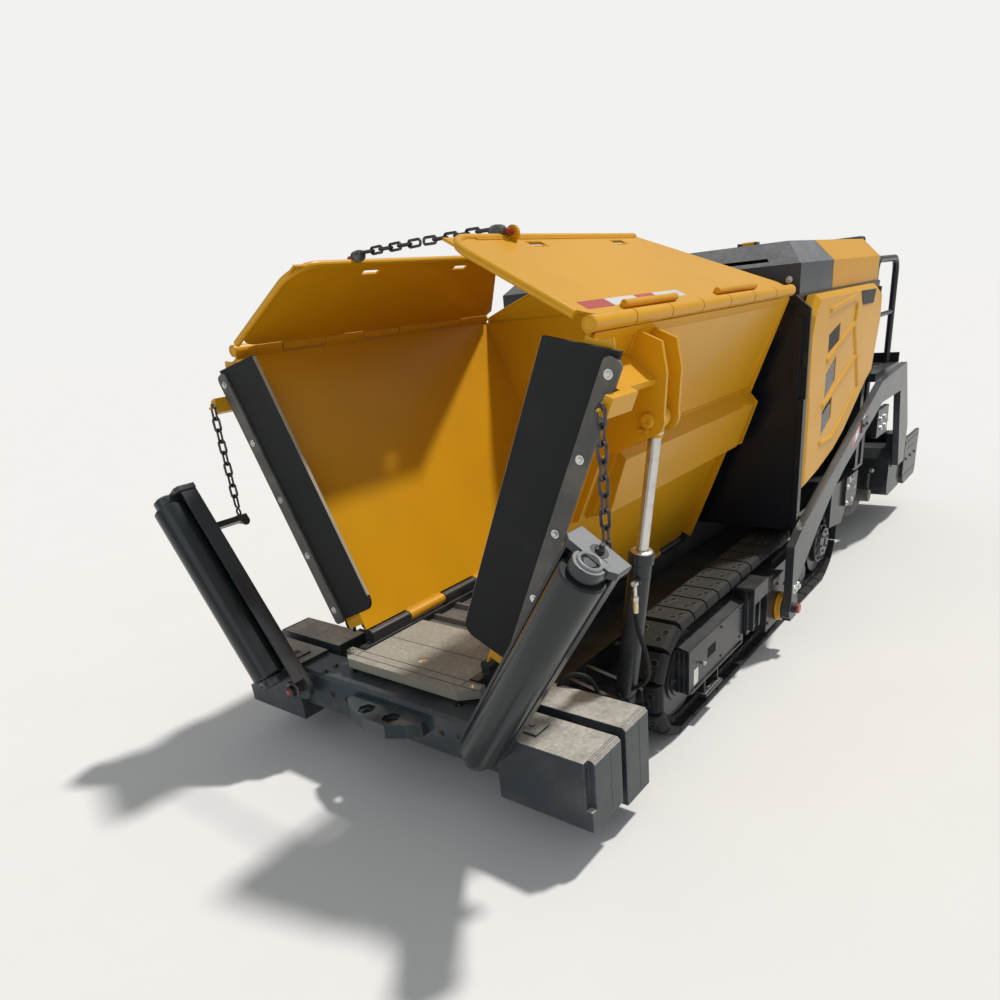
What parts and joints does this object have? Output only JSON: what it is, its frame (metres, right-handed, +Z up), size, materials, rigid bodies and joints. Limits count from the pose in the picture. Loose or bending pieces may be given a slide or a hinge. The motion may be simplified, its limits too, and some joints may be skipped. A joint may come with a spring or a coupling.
{
  "type": "asphalt paver",
  "caption": "Tracked asphalt paver with folding receiving hopper, fold-out push rollers, slat conveyor, augers and an extending screed",
  "frame": {"origin": "on the ground below the middle of the machine", "axes": "+Z up, +Y towards the screed at the rear, +X to the machine's left; the hopper is at the -Y end"},
  "size_m": [2.2458, 5, 2.024],
  "materials": {
    "yellow_paint": "gloss",
    "grey_paint": "satin",
    "dark_paint": "satin",
    "navy_paint": "satin",
    "beige_paint": "matt",
    "blue_grey_paint": "satin",
    "wear_steel": "worn",
    "cast_iron": "matt",
    "chrome": "polished",
    "rubber": "matt",
    "black_plastic": "matt"
  },
  "bodies": {
    "tractor": {"chassis": "dark_paint", "conveyor": "wear_steel", "hopper_floor": "beige_paint", "push_beam": "blue_grey_paint", "front_wall": "navy_paint", "body_deck": "dark_paint", "engine_block": "cast_iron", "hood_front": "grey_paint", "platform": "dark_paint", "console": "grey_paint", "seats": "black_plastic", "auger_carrier": "dark_paint", "bumper_block_left": "cast_iron", "bumper_block_right": "cast_iron", "track_left": "rubber", "track_right": "rubber", "track_frame_left": "dark_paint", "track_frame_right": "dark_paint"},
    "wing_left_body": {"wing_left": "yellow_paint", "skirt_left": "rubber", "skirt_clamp_left": "wear_steel"},
    "flap_left_body": {"flap_left": "yellow_paint", "flap_chain_left": "wear_steel"},
    "chain_left_body": {"hang_chain_left": "wear_steel"},
    "barrel_left_body": {"wing_cylinder_barrel_left": "dark_paint"},
    "rod_left_body": {"wing_cylinder_rod_left": "chrome"},
    "arm_left_body": {"push_arm_left": "grey_paint"},
    "roller_left_body": {"push_roller_left": "wear_steel"},
    "door_left_body": {"side_door_left": "yellow_paint"},
    "extension_left_body": {"screed_extension_left": "dark_paint"},
    "auger_left_body": {"auger_left": "wear_steel"},
    "wing_right_body": {"wing_right": "yellow_paint", "skirt_right": "rubber", "skirt_clamp_right": "wear_steel"},
    "flap_right_body": {"flap_right": "yellow_paint", "flap_chain_right": "wear_steel"},
    "chain_right_body": {"hang_chain_right": "wear_steel"},
    "barrel_right_body": {"wing_cylinder_barrel_right": "dark_paint"},
    "rod_right_body": {"wing_cylinder_rod_right": "chrome"},
    "arm_right_body": {"push_arm_right": "grey_paint"},
    "roller_right_body": {"push_roller_right": "wear_steel"},
    "door_right_body": {"side_door_right": "yellow_paint"},
    "extension_right_body": {"screed_extension_right": "dark_paint"},
    "auger_right_body": {"auger_right": "wear_steel"},
    "hood_body": {"hood_rear": "yellow_paint"},
    "lift_frame": {"tow_arm_left": "grey_paint", "tow_arm_right": "grey_paint", "screed": "dark_paint"}
  },
  "joints": [
    {"name": "wing_left_hinge", "type": "hinge", "parent": "tractor", "child": "wing_left_body", "pos_m": [0.325, -1.226, 0.505], "axis": [0, 1, 0], "range_deg": [0, 38]},
    {"name": "flap_left_hinge", "type": "hinge", "parent": "wing_left_body", "child": "flap_left_body", "pos_m": [0.86405, -1.226, 1.70444], "axis": [0, 1, 0], "range_deg": [0, 60]},
    {"name": "chain_left_hang", "type": "hinge", "parent": "wing_left_body", "child": "chain_left_body", "pos_m": [0.95, -2.166, 1.49], "axis": [0, 1, 0], "range_deg": [-38.1, 0]},
    {"name": "barrel_left_pivot", "type": "hinge", "parent": "tractor", "child": "barrel_left_body", "pos_m": [0.735, -1.718, 0.29], "axis": [0, 1, 0], "range_deg": [0, 37.89]},
    {"name": "rod_left_slide", "type": "slide", "parent": "barrel_left_body", "child": "rod_left_body", "axis": [0.141, 0, 0.99], "range_m": [-0.3024, 0]},
    {"name": "arm_left_pivot", "type": "hinge", "parent": "tractor", "child": "arm_left_body", "pos_m": [0.497, -2.34, 0.349], "axis": [0, 1, 0], "range_deg": [0, 57]},
    {"name": "roller_left_spin", "type": "hinge", "parent": "arm_left_body", "child": "roller_left_body", "pos_m": [0.58405, -2.43, 0.41314], "axis": [0.5402, 0, 0.8415], "continuous": true},
    {"name": "door_left_hinge", "type": "hinge", "parent": "tractor", "child": "door_left_body", "pos_m": [0.9, 1.045, 1.56], "axis": [0, 0, 1], "range_deg": [0, 70]},
    {"name": "extension_left_slide", "type": "slide", "parent": "lift_frame", "child": "extension_left_body", "axis": [1, 0, 0], "range_m": [0, 0.45]},
    {"name": "auger_left_spin", "type": "hinge", "parent": "tractor", "child": "auger_left_body", "pos_m": [0.47, 1.41, 0.33], "axis": [1, 0, 0], "continuous": true},
    {"name": "wing_right_hinge", "type": "hinge", "parent": "tractor", "child": "wing_right_body", "pos_m": [-0.325, -1.226, 0.505], "axis": [0, -1, 0], "range_deg": [0, 38]},
    {"name": "flap_right_hinge", "type": "hinge", "parent": "wing_right_body", "child": "flap_right_body", "pos_m": [-0.86405, -1.226, 1.70444], "axis": [0, -1, 0], "range_deg": [0, 60]},
    {"name": "chain_right_hang", "type": "hinge", "parent": "wing_right_body", "child": "chain_right_body", "pos_m": [-0.95, -2.166, 1.49], "axis": [0, -1, 0], "range_deg": [-38.1, 0]},
    {"name": "barrel_right_pivot", "type": "hinge", "parent": "tractor", "child": "barrel_right_body", "pos_m": [-0.735, -1.718, 0.29], "axis": [0, -1, 0], "range_deg": [0, 37.89]},
    {"name": "rod_right_slide", "type": "slide", "parent": "barrel_right_body", "child": "rod_right_body", "axis": [-0.141, 0, 0.99], "range_m": [-0.3024, 0]},
    {"name": "arm_right_pivot", "type": "hinge", "parent": "tractor", "child": "arm_right_body", "pos_m": [-0.497, -2.34, 0.349], "axis": [0, -1, 0], "range_deg": [0, 57]},
    {"name": "roller_right_spin", "type": "hinge", "parent": "arm_right_body", "child": "roller_right_body", "pos_m": [-0.58405, -2.43, 0.41314], "axis": [-0.5402, 0, 0.8415], "continuous": true},
    {"name": "door_right_hinge", "type": "hinge", "parent": "tractor", "child": "door_right_body", "pos_m": [-0.9, 1.045, 1.56], "axis": [0, 0, -1], "range_deg": [0, 70]},
    {"name": "extension_right_slide", "type": "slide", "parent": "lift_frame", "child": "extension_right_body", "axis": [-1, 0, 0], "range_m": [0, 0.45]},
    {"name": "auger_right_spin", "type": "hinge", "parent": "tractor", "child": "auger_right_body", "pos_m": [-0.47, 1.41, 0.33], "axis": [1, 0, 0], "continuous": true},
    {"name": "hood_hinge", "type": "hinge", "parent": "tractor", "child": "hood_body", "pos_m": [0, 0.2875, 1.926], "axis": [1, 0, 0], "range_deg": [0, 70]},
    {"name": "lift_frame_pivot", "type": "hinge", "parent": "tractor", "child": "lift_frame", "pos_m": [0.975, -0.426, 0.23], "axis": [1, 0, 0], "range_deg": [-4.8, 0]}
  ],
  "couplings": [
    {"joint": "chain_left_hang", "follows": "wing_left_hinge", "ratio": -1},
    {"joint": "barrel_left_pivot", "follows": "wing_left_hinge", "ratio": 0.99449},
    {"joint": "rod_left_slide", "follows": "wing_left_hinge", "m_per_rad": -0.45448},
    {"joint": "chain_right_hang", "follows": "wing_right_hinge", "ratio": -1},
    {"joint": "barrel_right_pivot", "follows": "wing_right_hinge", "ratio": 0.99449},
    {"joint": "rod_right_slide", "follows": "wing_right_hinge", "m_per_rad": -0.45448}
  ]
}
